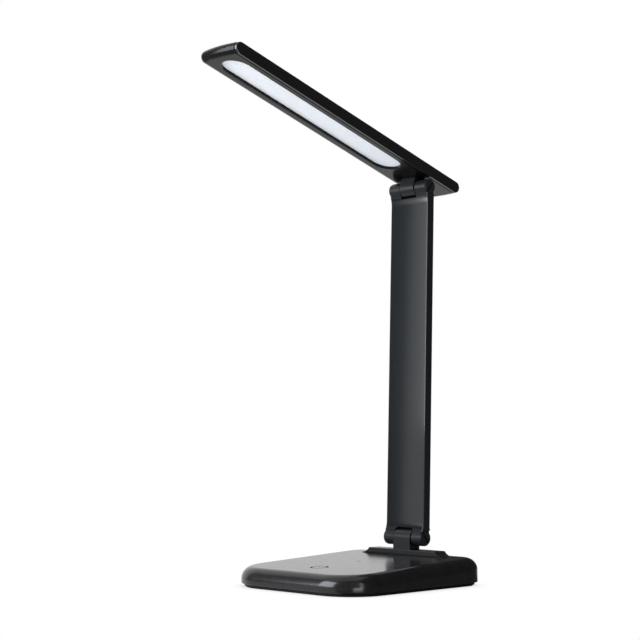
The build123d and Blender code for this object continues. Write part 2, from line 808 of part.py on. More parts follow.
# Outer knuckles of the arm, with the tongue that the arm's shells close around
def make_arm_knuckle(width):
    start = outer_start(width)
    chamber = start + bush_reach + seam_gap
    clear = middle_radius + turning_room
    web = side_prism(web_outline(), -outer_end, outer_end)
    web = web - rod_x(clear, -start, start)
    web = web - block(-start, start, -tall, 0, -tall, clear)
    web = web - block(-start, start, -tall, tall, -tall, leg_rear + turning_room)
    lip_space = block(-arm_width, arm_width, -tall, tongue_front, lip_end - fit_gap, tall)
    barrel = soft_rod_x(knuckle_radius, start, outer_end, knuckle_edge_round)
    above_cap = side_prism(web_outline(), outer_end, arm_width / 2)
    above_cap = above_cap - block(0, arm_width, -tall, tall, -tall, cap_radius + seam_gap)
    right = barrel + above_cap
    tongue = block(-tongue_half, tongue_half, tongue_front, tongue_rear, arm_end_gap, tongue_end)
    piece = tongue + web + right + mirror(right, about=Plane.YZ) - slit() - lip_space
    piece = piece - rod_x(shaft_radius + fixed_gap, 0, outer_end)
    piece = piece - rod_x(nut_pocket_radius, spring_start(width), outer_end + overrun)
    piece = piece - rod_x(bush_radius + running_gap, -chamber, 0)
    piece = piece - rod_x(cable_chamber_radius, -outer_end - overrun, -chamber)
    channel_front = tongue_front - 4 * fit_gap
    piece = piece - block(
        -cable_side - cable_passage, cable_passage - cable_side,
        channel_front, tongue_rear - channel_floor, 0, tongue_end + overrun)
    for x in arm_screws_x:
        piece = piece - rod_y(arm_boss_radius + fit_gap, -2 * arm_rear, 2 * arm_rear, x, arm_screw_z)
    return piece


# Arm: a front shell and a rear cover, each a shallow tray
def arm_front_bar():
    """The arm's front half, whose face swings out towards the knuckles, with its edges rounded."""
    middle = (front_rise + lip_end) / 2
    bulge = -blend_at(arm_front, front_blend, middle)
    far = arm_length - lip_end
    outline = ThreePointArc((-front_at_lip, lip_end), (bulge, middle), (-arm_front, front_rise))
    outline += Line((-arm_front, front_rise), (-arm_front, arm_length - front_rise))
    outline += ThreePointArc(
        (-arm_front, arm_length - front_rise), (bulge, arm_length - middle), (-front_at_lip, far))
    outline += Polyline(
        (-front_at_lip, far), (arm_split, far), (arm_split, lip_end), (-front_at_lip, lip_end))
    bar = side_prism(make_face(outline), -arm_width / 2, arm_width / 2)
    sides = bar.faces().sort_by(Axis.X)
    rims = sides[0].edges() + sides[-1].edges()
    bar = fillet([rim for rim in rims if rim.center().Y < fit_gap - arm_front], arm_edge_round)
    ends = bar.faces().sort_by(Axis.Z)
    rims = ends[0].edges() + ends[-1].edges()
    return fillet([rim for rim in rims if rim.center().Y < fit_gap - arm_front], lip_end_round)


def make_arm_front_shell():
    half = arm_width / 2 - arm_wall
    floor = arm_wall - arm_front
    upper_room = Pos(0, 0, arm_length) * mirror(lip_room(head_knuckle_width), about=Plane.XY)
    shell = arm_front_bar() - lip_room(base_knuckle_width) - upper_room
    shell = shell - block(-half, half, floor, arm_split + overrun, 0, arm_length)
    first = tongue_end + rib_margin
    step = (arm_length - 2 * first - rib_thickness) / (rib_count - 1)
    near_cable = cable_passage - cable_side + rib_thickness
    for index in range(rib_count):
        z = first + index * step
        shell = shell + block(near_cable, half, floor, arm_split, z, z + rib_thickness)
    for x, z in arm_screws:
        shell = shell + rod_y(arm_boss_radius, floor, tongue_rear, x, z)
    for x, z in arm_screws:
        shell = shell - rod_y(arm_screw_shank + thread_gap, floor + fit_gap, arm_rear, x, z)
    return shell


def make_arm_rear_cover():
    half = arm_width / 2 - arm_wall
    cover = block(
        -arm_width / 2, arm_width / 2, arm_split, arm_rear, arm_end_gap, arm_length - arm_end_gap)
    cover = fillet(cover.faces().sort_by(Axis.Y)[-1].edges(), arm_edge_round)
    cover = cover - block(-half, half, arm_split - overrun, arm_rear - arm_wall, 0, arm_length)
    for x, z in arm_screws:
        cover = cover - rod_y(arm_screw_shank + fit_gap, 0, 2 * arm_rear, x, z)
        cover = cover - rod_y(arm_screw_head + fit_gap, arm_rear - arm_screw_sink, 2 * arm_rear, x, z)
    return cover


def make_arm_screws():
    length = arm_rear - arm_screw_sink - tongue_front - fit_gap
    screw = Rot(90, 0, 0) * screw_up(length, arm_screw_shank, arm_screw_head, arm_screw_head_height)
    return group([Pos(x, arm_rear - arm_screw_sink, z) * screw for x, z in arm_screws])


# Cable: three lengths that meet inside the hollow pins
def make_base_cable():
    foot = board_top - lower_axis_z
    points = [(cable_x_base, 0, foot), (cable_x_base, 0, 0), (base_meet, 0, 0)]
    return base_axis * round_cable(FilletPolyline(*points, radius=cable_bend), cable_radius)


def make_arm_cable():
    middle = (arm_rear - arm_front) / 2
    near = arm_end_gap - cable_bend
    far = arm_end_gap + 2 * cable_bend
    points = [
        (base_meet - fit_gap, 0, 0), (-cable_side, 0, 0), (-cable_side, 0, near), (-cable_side, middle, far),
        (-cable_side, middle, arm_length - far), (-cable_side, 0, arm_length - near),
        (-cable_side, 0, arm_length), (head_meet - fit_gap, 0, arm_length),
    ]
    return arm_frame * round_cable(FilletPolyline(*points, radius=cable_bend), cable_radius)


def make_head_cable():
    over = head_ceiling - cable_radius - fit_gap
    end = -window_rear - led_board_margin + fit_gap
    points = [(head_meet, 0, 0), (cable_x_head, 0, 0), (cable_x_head, 0, over), (cable_x_head, end, over)]
    return head_frame * round_cable(FilletPolyline(*points, radius=cable_bend), cable_radius)


# Lamp head, about the upper axis: -Y is forward and +Z is away from the desk
def head_plan(side_inset, end_inset):
    """The head's outline seen from above, straight along its sides and bowed at its ends."""
    width = head_width - 2 * side_inset
    outline = Circle(head_length / 2 - end_inset) & Rectangle(width, head_length)
    return Pos(0, head_middle) * fillet(outline.vertices(), head_corner)


def head_bar(half, low, step, edge_round):
    """A bar up to the head's top, with bowed, half-round ends that are longer by a step."""
    thickness = head_top - low
    disc = Pos(0, head_middle, low + thickness / 2) * Cylinder(head_length / 2 + step, thickness)
    disc = fillet(disc.edges().filter_by(GeomType.CIRCLE), thickness / 2 - fixed_gap)
    bar = disc & block(-half, half, -tall, tall, low - overrun, head_top + overrun)
    sides = bar.faces().sort_by(Axis.X)
    return fillet(sides[0].edges() + sides[-1].edges(), edge_round)


def head_room(gap, low, high):
    """The space inside the shell, open towards the nose, made smaller all round by a gap."""
    half = head_width / 2 - head_wall - gap
    room = prism(head_plan(head_wall + gap, cavity_end_inset + gap), low, high)
    return room + block(-half, half, -cap_start - overrun, -lip_start, low, high)


def window_slot(grow):
    """The window's outline, a slot with round ends, made wider all round by grow."""
    length = window_front - window_rear + 2 * grow
    middle = (window_front + window_rear) / 2
    return Pos(0, -middle) * Rot(0, 0, 90) * SlotOverall(length, 2 * (window_half_width + grow))


def panel_ring():
    """The groove round the panel, which the shell and the panel's plug share."""
    ring = head_plan(panel_side_inset - panel_groove, nose + panel_end_reveal - panel_groove)
    ring = ring - head_plan(panel_side_inset, nose + panel_end_reveal)
    return prism(ring, head_rise - overrun, head_rise + panel_groove_depth)


def make_head_shell():
    """A bar hollowed from below, grooved round its panel, with bosses for the knuckle's flange."""
    shell = head_bar(head_width / 2, head_rise, 0, head_side_round)
    shell = shell - head_room(0, head_rise - overrun, head_ceiling)
    nose_half = head_width / 2 - panel_side_inset + panel_groove
    shell = shell - block(-nose_half, nose_half, -tall, fit_gap - cap_start, 0, tall)
    shell = shell - panel_ring()
    for x, y in flange_screws:
        shell = shell + rod_z(flange_boss_radius, flange_high, head_ceiling, x, y)
    for x, y in flange_screws:
        reach = head_ceiling + fit_gap
        shell = shell - rod_z(flange_screw_shank + thread_gap, flange_high - overrun, reach, x, y)
    return head_frame * shell


def make_head_panel():
    """The lower panel: a proud lip, the nose cap, a plug inside the shell and a window wall."""
    lip = prism(head_plan(panel_side_inset, nose + panel_end_reveal), panel_low, head_rise)
    lip = fillet(lip.faces().sort_by(Axis.Z)[0].edges(), panel_edge_round)
    lip = lip - block(-tall, tall, -tall, -lip_start, 0, tall)
    half = head_width / 2 - panel_side_inset
    bar = head_bar(half, panel_low, nose_step, panel_edge_round)
    front_lip = bar & block(-half, half, -tall, -lip_start, 0, head_rise)
    cap = bar & block(-half, half, -tall, -cap_start, 0, tall)
    plug = head_room(seam_gap, head_rise, panel_high) - panel_ring()
    wall = prism(window_slot(window_grow + window_rim), panel_high, diffuser_high)
    half = head_knuckle_width / 2 + seam_gap
    hole = block(-half, half, -middle_radius - seam_gap, leg_rear + seam_gap, 0, panel_high + overrun)
    panel = lip + front_lip + cap + plug + wall - hole
    panel = panel - prism(window_slot(0), 0, diffuser_high + overrun)
    return head_frame * (panel - prism(window_slot(window_grow), diffuser_low, diffuser_high + overrun))


def make_diffuser():
    return head_frame * prism(window_slot(window_seat), diffuser_low, diffuser_high)


def make_reflector():
    """A white frame that holds the diffuser down and closes the light box."""
    high = diffuser_high + reflector_thickness
    frame = prism(window_slot(window_grow + window_rim), diffuser_high, high)
    return head_frame * (frame - prism(window_slot(0), diffuser_high - overrun, high + overrun))


def make_led_board():
    return head_frame * block(
        -led_board_half_width, led_board_half_width,
        led_board_margin - window_front, -window_rear - led_board_margin, led_board_low, head_ceiling)


def make_leds():
    first = -window_rear - window_half_width
    step = (window_front - window_rear - 2 * window_half_width) / (led_count - 1)
    chips = []
    for side in (-0.5, 0.5):
        x = side * led_row_spacing
        for index in range(led_count):
            y = first - index * step
            chips.append(block(
                x - led_width / 2, x + led_width / 2, y - led_length / 2, y + led_length / 2,
                led_board_low - led_thickness, led_board_low))
    return head_frame * group(chips)


def make_head_knuckle():
    """The head's knuckle with the flange that is screwed up into the shell."""
    knuckle = middle_knuckle(head_knuckle_width, 0, flange_high)
    knuckle = knuckle + block(
        -flange_width / 2, flange_width / 2, -flange_depth / 2, flange_depth / 2, flange_low, flange_high)
    for x, y in flange_screws:
        knuckle = knuckle - rod_z(flange_screw_shank + fit_gap, flange_low - overrun, head_top, x, y)
    return head_frame * (knuckle - middle_knuckle_bores(head_knuckle_width, 0, head_top))


def make_flange_screws():
    length = head_ceiling - flange_low
    screw = screw_up(length, flange_screw_shank, flange_screw_head, flange_screw_head_height)
    return head_frame * group([Pos(x, y, flange_low) * screw for x, y in flange_screws])


def at_upper_end(piece):
    """Turns a piece made for the arm's lower end to its upper end."""
    return arm_frame * Pos(0, 0, arm_length) * mirror(piece, about=Plane.XY)


parts = {
    "base_shell": make_base_shell(),
    "bottom_cover": make_bottom_cover(),
    "foot_pad": make_foot_pad(),
    "cover_screws": make_cover_screws(),
    "ballast_plate": make_ballast(),
    "battery_pack": make_battery(),
    "battery_leads": make_battery_leads(),
    "main_board": make_board(),
    "board_components": make_board_parts(),
    "board_screws": make_board_screws(),
    "charging_socket": make_socket(),
    "touch_ring": make_touch_ring(),
    "touch_dot": make_touch_dot(),
    "touch_plate": make_touch_plate(),
    "touch_board": make_touch_board(),
    "touch_board_parts": make_touch_board_parts(),
    "touch_leads": make_touch_leads(),
    "indicator_window": make_indicator_window(),
    "hinge_bracket": make_bracket(),
    "clamp_plate": make_clamp_plate(),
    "bracket_screws": make_bracket_screws(),
    "base_cable": make_base_cable(),
    "lower_bush": base_axis * make_bush(base_knuckle_width),
    "lower_shaft": arm_frame * make_shaft(base_knuckle_width),
    "lower_washers": arm_frame * make_washers(base_knuckle_width),
    "lower_springs": arm_frame * make_springs(base_knuckle_width),
    "lower_nut": arm_frame * make_nut(base_knuckle_width),
    "lower_caps": arm_frame * make_caps(),
    "lower_arm_knuckle": arm_frame * make_arm_knuckle(base_knuckle_width),
    "arm_front_shell": arm_frame * make_arm_front_shell(),
    "arm_rear_cover": arm_frame * make_arm_rear_cover(),
    "arm_screws": arm_frame * make_arm_screws(),
    "arm_cable": make_arm_cable(),
    "upper_arm_knuckle": at_upper_end(make_arm_knuckle(head_knuckle_width)),
    "upper_shaft": at_upper_end(make_shaft(head_knuckle_width)),
    "upper_washers": at_upper_end(make_washers(head_knuckle_width)),
    "upper_springs": at_upper_end(make_springs(head_knuckle_width)),
    "upper_nut": at_upper_end(make_nut(head_knuckle_width)),
    "upper_caps": at_upper_end(make_caps()),
    "upper_bush": head_frame * mirror(make_bush(head_knuckle_width), about=Plane.XY),
    "head_knuckle": make_head_knuckle(),
    "flange_screws": make_flange_screws(),
    "head_shell": make_head_shell(),
    "head_panel": make_head_panel(),
    "diffuser": make_diffuser(),
    "reflector": make_reflector(),
    "led_board": make_led_board(),
    "led_chips": make_leds(),
    "head_cable": make_head_cable(),
}

os.makedirs("parts", exist_ok=True)
for name, shape in parts.items():
    export_step(shape, os.path.join("parts", name + ".step"))
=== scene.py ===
import math

import bpy
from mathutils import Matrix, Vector

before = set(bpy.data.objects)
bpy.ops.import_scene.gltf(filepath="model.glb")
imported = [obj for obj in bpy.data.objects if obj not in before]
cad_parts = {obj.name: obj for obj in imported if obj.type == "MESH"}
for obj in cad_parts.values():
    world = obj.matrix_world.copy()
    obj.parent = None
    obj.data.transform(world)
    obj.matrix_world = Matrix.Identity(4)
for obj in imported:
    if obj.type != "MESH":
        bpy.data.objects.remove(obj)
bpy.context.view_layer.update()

scene = bpy.context.scene


# Camera: a long lens a little above the desk, level with the lamp's lower third.
# It looks at the lamp's front from the right and slightly upward, as the photograph does.
sensor_width_mm = 36.0
focal_length_mm = 83.87
camera_place = (0.77169, -0.79533, 0.10901)
turned = math.radians(45.5)
raised = math.radians(4.476)
looking = Vector((
    -math.sin(turned) * math.cos(raised), math.cos(turned) * math.cos(raised), math.sin(raised)))
camera_data = bpy.data.cameras.new("camera")
camera_data.sensor_width = sensor_width_mm
camera_data.lens = focal_length_mm
camera = bpy.data.objects.new("camera", camera_data)
scene.collection.objects.link(camera)
camera.location = camera_place
camera.rotation_mode = "QUATERNION"
camera.rotation_quaternion = looking.to_track_quat("-Z", "Y")
scene.camera = camera
scene.view_settings.view_transform = "Standard"


# Studio floor: a wide sheet of pale paper that runs out into a white surround.
# Its white comes from its own colour, and a soft shadow is painted into it where the lamp stands on it.
def linear(code):
    """An sRGB hex colour as linear red, green, blue and alpha."""
    parts = [int(code[i:i + 2], 16) / 255 for i in (1, 3, 5)]
    return [p / 12.92 if p <= 0.04045 else ((p + 0.055) / 1.055) ** 2.4 for p in parts] + [1.0]


def add(tree, kind, inputs=None, **settings):
    """Adds a node; each of its inputs is a plain value or another node's output."""
    node = tree.nodes.new("ShaderNode" + kind)
    for name, value in settings.items():
        setattr(node, name, value)
    for name, value in (inputs or {}).items():
        if isinstance(value, bpy.types.NodeSocket):
            tree.links.new(value, node.inputs[name])
        else:
            node.inputs[name].default_value = value
    return node


def new_material(name):
    """An empty node material and its tree."""
    made = bpy.data.materials.new(name)
    made.use_nodes = True
    made.node_tree.nodes.clear()
    return made, made.node_tree


def seen_directly(tree):
    """1 for what the camera sees, itself or in a glossy or clear surface, and 0 for soft light."""
    path = add(tree, "LightPath")
    gloss = add(tree, "Math", {0: path.outputs["Is Camera Ray"], 1: path.outputs["Is Glossy Ray"]},
                operation="MAXIMUM")
    return add(tree, "Math", {0: gloss.outputs[0], 1: path.outputs["Is Transmission Ray"]},
               operation="MAXIMUM").outputs[0]


def sheet(name, corners, material):
    """A flat studio sheet through four corners, which isn't part of the lamp."""
    mesh = bpy.data.meshes.new(name)
    mesh.from_pydata(corners, [], [(0, 1, 2, 3)])
    mesh.materials.append(material)
    made = bpy.data.objects.new(name, mesh)
    scene.collection.objects.link(made)
    return made


white = linear("#ffffff")
floor_reach = 8.0
shadow_reach = 0.045
shadow_samples = 8
floor_paper, tree = new_material("pale_floor_paper")
# Painted shadow: the paper's white is dimmed by how near the lamp's parts are, not by the lamps.
nearness = add(tree, "AmbientOcclusion", {"Distance": shadow_reach}, samples=shadow_samples)
painted_contact_shadow = add(tree, "MapRange", {"Value": nearness.outputs["AO"], "From Min": 0.3, "From Max": 0.85,
                               "To Min": 0.76, "To Max": 1.0})
shown = add(tree, "Emission", {"Color": white, "Strength": painted_contact_shadow.outputs[0]})
paper = add(tree, "BsdfDiffuse", {"Color": linear("#efefef")})
mixed = add(tree, "MixShader", {0: seen_directly(tree), 1: paper.outputs[0], 2: shown.outputs[0]})
add(tree, "OutputMaterial", {"Surface": mixed.outputs[0]})
sheet("floor", [(-floor_reach, -floor_reach, 0), (floor_reach, -floor_reach, 0),
                (floor_reach, floor_reach, 0), (-floor_reach, floor_reach, 0)], floor_paper)


# Surround: the studio's white walls and ceiling, too far off to show their corners.
# They are plain white where they are seen, and a little dimmer as a source of light.
world = bpy.data.worlds.new("studio")
scene.world = world
world.use_nodes = True
tree = world.node_tree
tree.nodes.clear()
surround = add(tree, "Background", {"Color": white, "Strength": 1.0})
ambient = add(tree, "Background", {"Color": linear("#f7f8fa"), "Strength": 0.9})
mixed = add(tree, "MixShader", {
    0: seen_directly(tree), 1: ambient.outputs[0], 2: surround.outputs[0]})
add(tree, "OutputWorld", {"Surface": mixed.outputs[0]})


# Softbox at the front left: white cloth over a wide rectangular frame, lit from inside.
# The flat of the arm and the round of the nose reflect it.
softbox_place = Vector((-0.36, -0.95, 0.62))
softbox_aim = Vector((0.0, 0.0, 0.62))
softbox_width = 0.8
softbox_height = 0.9
softbox_watts = 18.0
softbox_data = bpy.data.lights.new("front_left_softbox", "AREA")
softbox_data.shape = "RECTANGLE"
softbox_data.size = softbox_width
softbox_data.size_y = softbox_height
softbox_data.energy = softbox_watts
softbox_data.color = linear("#f3f6ff")[:3]
softbox = bpy.data.objects.new("front_left_softbox", softbox_data)
scene.collection.objects.link(softbox)
softbox.location = softbox_place
softbox.rotation_mode = "QUATERNION"
softbox.rotation_quaternion = (softbox_aim - softbox_place).to_track_quat("-Z", "Y")


# Studio cards of glowing cloth that only glossy surfaces show. Dark ones keep the lamp's right sides
# deep black, and grey ones stand at the left and behind the camera. A bright strip stands at the right,
# and a glowing card on the paper paints its reflection there; together they draw a soft line down the
# base's front corner.
def card(name, corners, colour, strength=1.0):
    """A card through four corners, seen in reflections alone."""
    cloth, tree = new_material(name + "_cloth")
    glow = add(tree, "Emission", {"Color": linear(colour), "Strength": strength})
    add(tree, "OutputMaterial", {"Surface": glow.outputs[0]})
    made = sheet(name, corners, cloth)
    made.visible_camera = False
    made.visible_diffuse = False
    made.visible_transmission = False
    made.visible_shadow = False


def upright(name, left, right, top, colour, strength=1.0):
    """A card that stands on the floor between two points."""
    card(name, [(*left, 0), (*right, 0), (*right, top), (*left, top)], colour, strength)


def flat(name, outline, height, colour, strength=1.0):
    """A card that lies just over the floor."""
    card(name, [(*point, height) for point in outline], colour, strength)


wall_top = 3.0
right_corner = (1.5, -0.35)
back_corner = (0.0, 1.3)
upright("dark_wall", right_corner, back_corner, wall_top, "#423e3a")
upright("dark_back", back_corner, (-1.13, 1.3), wall_top, "#3c3c3c")
upright("front_wall", right_corner, (0.0, -1.6), wall_top, "#8c8c8c")

grey_top = 1.3
grey_join = (-0.757, -0.666)
upright("near_grey_wall", (-0.69, -0.7), grey_join, grey_top, "#606060")
upright("far_grey_wall", grey_join, (-1.25, -0.42), grey_top, "#a0a0a0")

strip_top = 1.2
strip_near = (1.1, -0.86)
strip_far = (1.34, -0.42)
upright("right_strip", strip_near, strip_far, strip_top, "#ffffff", 4.0)

cloth_height = 0.0006
painted_gleam_height = 0.001
grey_outline = [(-0.15, -0.08), (-0.25, -0.75), (-0.75, -0.75), (-0.75, -0.08)]
dark_outline = [(0.05, -0.12), (1.5, -0.6), (1.0, 1.3), (0.05, 1.3)]
painted_gleam_outline = [(0.092, -0.09), strip_near, strip_far, (0.108, -0.07)]
flat("grey_floor", grey_outline, cloth_height, "#b4b4b4")
flat("dark_floor", dark_outline, cloth_height, "#5c5852")
# Painted reflection: a glowing card on the paper stands in for the strip's reflection in it.
flat("right_painted_gleam", painted_gleam_outline, painted_gleam_height, "#ffffff", 10.0)


# Base housing: one deep ABS moulding from a polished tool, screwed to its cover from below.
# Polished ABS is near black with clear reflections that waver a little, under a trace of dust.
def per_metre(millimetres):
    """How many times a pattern of this size fits in a metre."""
    return 1000 / millimetres


def dress(names, material, skin):
    """Closes a finish with its surface and puts it on the lamp's pieces."""
    add(material.node_tree, "OutputMaterial", {"Surface": skin.outputs[0]})
    for name in names:
        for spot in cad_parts[name].material_slots:
            spot.material = material


wave_mm = 14
dust_mm = 6
gloss_abs, tree = new_material("polished_black_abs")
place = add(tree, "TexCoord").outputs["Object"]
wave = add(tree, "TexNoise", {"Vector": place, "Scale": per_metre(wave_mm), "Detail": 1.0})
bump = add(tree, "Bump", {"Height": wave.outputs["Fac"], "Strength": 0.05, "Distance": 0.0002})
dust = add(tree, "TexNoise", {"Vector": place, "Scale": per_metre(dust_mm), "Detail": 6.0})
rough = add(tree, "MapRange", {"Value": dust.outputs["Fac"], "To Min": 0.15, "To Max": 0.22})
tint = add(tree, "MapRange", {"Value": dust.outputs["Fac"], "From Min": 0.45, "From Max": 0.8})
colour = add(tree, "MixRGB", {0: tint.outputs[0], 1: linear("#121213"), 2: linear("#18181a")})
skin = add(tree, "BsdfPrincipled", {
    "Base Color": colour.outputs[0], "Roughness": rough.outputs[0], "IOR": 1.54,
    "Specular IOR Level": 0.36, "Normal": bump.outputs[0]})
dress(["base_shell"], gloss_abs, skin)


# Bottom cover: ABS moulding with a spark-eroded, matte texture, held by four screws.
# The eye sees an even dark line in the shadow under the housing.
erosion_mm = 0.4
matte_abs, tree = new_material("spark_textured_black_abs")
place = add(tree, "TexCoord").outputs["Object"]
pits = add(tree, "TexNoise", {"Vector": place, "Scale": per_metre(erosion_mm), "Detail": 2.0})
bump = add(tree, "Bump", {"Height": pits.outputs["Fac"], "Strength": 0.5, "Distance": 0.00005})
rough = add(tree, "MapRange", {"Value": pits.outputs["Fac"], "To Min": 0.5, "To Max": 0.7})
skin = add(tree, "BsdfPrincipled", {
    "Base Color": linear("#0c0c0d"), "Roughness": rough.outputs[0], "IOR": 1.54,
    "Specular IOR Level": 0.15, "Normal": bump.outputs[0]})
dress(["bottom_cover"], matte_abs, skin)


# Foot pad: die-cut sheet of closed-cell rubber, glued over the screw wells.
# Dull black with fine open pores on the cut skin.
pore_mm = 0.8
pad_rubber, tree = new_material("closed_cell_rubber")
place = add(tree, "TexCoord").outputs["Object"]
pores = add(tree, "TexVoronoi", {"Vector": place, "Scale": per_metre(pore_mm)})
bump = add(tree, "Bump", {"Height": pores.outputs["Distance"], "Strength": 0.4, "Distance": 0.0001})
tint = add(tree, "MixRGB", {0: pores.outputs["Distance"], 1: linear("#0d0d0d"), 2: linear("#1b1b1a")})
skin = add(tree, "BsdfPrincipled", {
    "Base Color": tint.outputs[0], "Roughness": 0.85, "Specular IOR Level": 0.2,
    "Normal": bump.outputs[0]})
dress(["foot_pad"], pad_rubber, skin)


# Steel parts: screws, ballast, clamp plate, shafts, disc springs and nuts, all zinc-plated.
# Bright zinc is a soft silver-grey, mottled by tumbling, with a faint blue passivation.
spangle_mm = 3
zinc, tree = new_material("bright_zinc_plated_steel")
place = add(tree, "TexCoord").outputs["Object"]
spangle = add(tree, "TexNoise", {"Vector": place, "Scale": per_metre(spangle_mm), "Detail": 5.0})
tint = add(tree, "MixRGB", {0: spangle.outputs["Fac"], 1: linear("#b9bcc4"), 2: linear("#d4d5d6")})
rough = add(tree, "MapRange", {"Value": spangle.outputs["Fac"], "To Min": 0.24, "To Max": 0.42})
bump = add(tree, "Bump", {"Height": spangle.outputs["Fac"], "Strength": 0.15, "Distance": 0.00005})
skin = add(tree, "BsdfPrincipled", {
    "Base Color": tint.outputs[0], "Metallic": 1.0, "Roughness": rough.outputs[0],
    "Normal": bump.outputs[0]})
dress(["cover_screws", "board_screws", "bracket_screws", "flange_screws", "arm_screws",
       "ballast_plate", "clamp_plate", "lower_shaft", "lower_springs", "lower_nut",
       "upper_shaft", "upper_springs", "upper_nut"], zinc, skin)


# Battery: flat lithium pouch of aluminium laminate, taped to the ballast plate.
# The foil is dull silver with soft creases where it was drawn over the cell.
crease_mm = 12
foil, tree = new_material("aluminium_laminate_foil")
place = add(tree, "TexCoord").outputs["Object"]
crease = add(tree, "TexNoise", {
    "Vector": place, "Scale": per_metre(crease_mm), "Detail": 4.0, "Distortion": 1.5})
bump = add(tree, "Bump", {"Height": crease.outputs["Fac"], "Strength": 0.6, "Distance": 0.0004})
rough = add(tree, "MapRange", {"Value": crease.outputs["Fac"], "To Min": 0.25, "To Max": 0.4})
skin = add(tree, "BsdfPrincipled", {
    "Base Color": linear("#cfd1d4"), "Metallic": 1.0, "Roughness": rough.outputs[0],
    "Normal": bump.outputs[0]})
dress(["battery_pack"], foil, skin)


# Battery leads: stranded copper in extruded red PVC, crimped at both ends.
# The extruded skin is smooth and waxy, and shows the strands as a slight ripple.
strand_mm = 1.2
red_pvc, tree = new_material("extruded_red_pvc")
place = add(tree, "TexCoord").outputs["Object"]
ripple = add(tree, "TexNoise", {"Vector": place, "Scale": per_metre(strand_mm), "Detail": 1.0})
bump = add(tree, "Bump", {"Height": ripple.outputs["Fac"], "Strength": 0.2, "Distance": 0.00005})
tint = add(tree, "MixRGB", {0: ripple.outputs["Fac"], 1: linear("#8f120e"), 2: linear("#a81a14")})
skin = add(tree, "BsdfPrincipled", {
    "Base Color": tint.outputs[0], "Roughness": 0.42, "Normal": bump.outputs[0]})
dress(["battery_leads"], red_pvc, skin)


# Cable through the arm and the touch board's leads: soft silicone jacket, extruded in black.
# Silicone is dull, picks up lint and is never quite even.
lint_mm = 0.7
silicone, tree = new_material("black_silicone_jacket")
place = add(tree, "TexCoord").outputs["Object"]
lint = add(tree, "TexNoise", {"Vector": place, "Scale": per_metre(lint_mm), "Detail": 6.0})
tint = add(tree, "MixRGB", {0: lint.outputs["Fac"], 1: linear("#101010"), 2: linear("#232323")})
bump = add(tree, "Bump", {"Height": lint.outputs["Fac"], "Strength": 0.2, "Distance": 0.00005})
skin = add(tree, "BsdfPrincipled", {
    "Base Color": tint.outputs[0], "Roughness": 0.62, "Normal": bump.outputs[0]})
dress(["touch_leads", "base_cable", "arm_cable", "head_cable"], silicone, skin)


# Circuit boards: glass-epoxy laminate under green solder mask, screwed to posts.
# The mask is a deep glossy green, a little lighter over the copper tracks.
track_mm = 2.5
mask, tree = new_material("green_solder_mask")
place = add(tree, "TexCoord").outputs["Object"]
tracks = add(tree, "TexBrick", {
    "Vector": place, "Scale": per_metre(track_mm), "Color1": linear("#0d3f22"),
    "Color2": linear("#0f4a28"), "Mortar": linear("#1b6a3c")})
bump = add(tree, "Bump", {"Height": tracks.outputs["Fac"], "Strength": 0.2, "Distance": 0.00003})
skin = add(tree, "BsdfPrincipled", {
    "Base Color": tracks.outputs["Color"], "Roughness": 0.3, "IOR": 1.55, "Normal": bump.outputs[0]})
dress(["main_board", "touch_board"], mask, skin)


# Chips, coil, capacitors and plugs: moulded epoxy and nylon housings, soldered to the boards.
# Moulded epoxy is charcoal black with a fine sandy skin.
sand_mm = 0.3
epoxy, tree = new_material("moulded_black_epoxy")
place = add(tree, "TexCoord").outputs["Object"]
sand = add(tree, "TexNoise", {"Vector": place, "Scale": per_metre(sand_mm), "Detail": 2.0})
bump = add(tree, "Bump", {"Height": sand.outputs["Fac"], "Strength": 0.3, "Distance": 0.00003})
tint = add(tree, "MixRGB", {0: sand.outputs["Fac"], 1: linear("#17181a"), 2: linear("#26272a")})
skin = add(tree, "BsdfPrincipled", {
    "Base Color": tint.outputs[0], "Roughness": 0.55, "Normal": bump.outputs[0]})
dress(["board_components", "touch_board_parts"], epoxy, skin)


# Charging socket: drawn steel shell with a nickel skin, soldered to the main board.
# Nickel is bright and slightly warm, with draw lines along the shell.
draw_mm = 0.2
draw_lines = (1.0, 0.04, 1.0)
nickel, tree = new_material("drawn_nickel_plated_steel")
place = add(tree, "TexCoord").outputs["Object"]
along = add(tree, "Mapping", {"Vector": place, "Scale": draw_lines})
drawn = add(tree, "TexNoise", {"Vector": along.outputs[0], "Scale": per_metre(draw_mm), "Detail": 2.0})
bump = add(tree, "Bump", {"Height": drawn.outputs["Fac"], "Strength": 0.2, "Distance": 0.00002})
skin = add(tree, "BsdfPrincipled", {
    "Base Color": linear("#d6d1c8"), "Metallic": 1.0, "Roughness": 0.2, "Normal": bump.outputs[0]})
dress(["charging_socket"], nickel, skin)


# Touch mark: a ring and a dot of dark grey polycarbonate, pressed flush into the housing's top.
# Moulded in a blasted tool, so they stay matte and dark where the gloss around them shines.
blast_mm = 0.3
dark_inlay, tree = new_material("blasted_dark_polycarbonate")
place = add(tree, "TexCoord").outputs["Object"]
blasted = add(tree, "TexNoise", {"Vector": place, "Scale": per_metre(blast_mm), "Detail": 2.0})
bump = add(tree, "Bump", {"Height": blasted.outputs["Fac"], "Strength": 0.2, "Distance": 0.00003})
tint = add(tree, "MixRGB", {0: blasted.outputs["Fac"], 1: linear("#101010"), 2: linear("#161616")})
skin = add(tree, "BsdfPrincipled", {
    "Base Color": tint.outputs[0], "Roughness": 0.75, "Specular IOR Level": 0.0,
    "Normal": bump.outputs[0]})
dress(["touch_ring", "touch_dot"], dark_inlay, skin)


